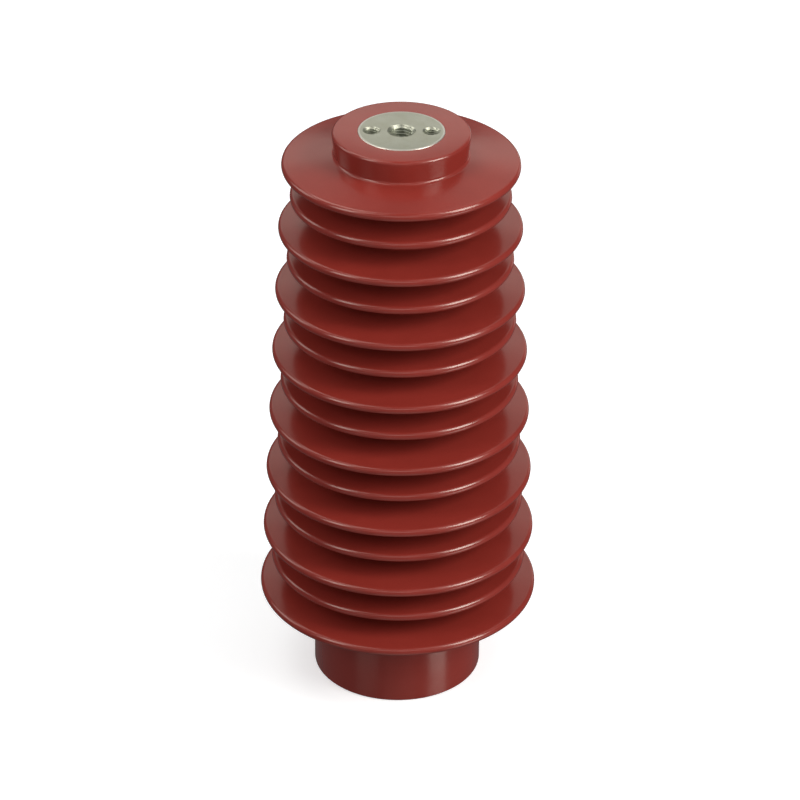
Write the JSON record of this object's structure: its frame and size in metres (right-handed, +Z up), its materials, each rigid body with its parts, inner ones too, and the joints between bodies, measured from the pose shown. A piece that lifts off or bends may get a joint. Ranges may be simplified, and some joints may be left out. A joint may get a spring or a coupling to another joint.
{
  "type": "post insulator",
  "caption": "Tapered cast-resin post insulator with alternating large and small round-edged sheds, a tapped metal insert flush in its top and tapped inserts in its plain round foot.",
  "frame": {"origin": "middle of the underside, in the plane of the base inserts' faces", "axes": "+Z up the post's axis; +X along the line of the top insert's two small tapped holes"},
  "size_m": [0.1762, 0.1762, 0.38],
  "materials": {
    "resin": "smooth, semi-gloss, cast brick red",
    "insert_metal": "turned, thin zinc plating"
  },
  "bodies": {
    "root": {"resin_body": "resin", "top_insert": "insert_metal", "base_centre_insert": "insert_metal", "base_bushing_front": "insert_metal", "base_bushing_right": "insert_metal", "base_bushing_back": "insert_metal", "base_bushing_left": "insert_metal"}
  },
  "joints": []
}
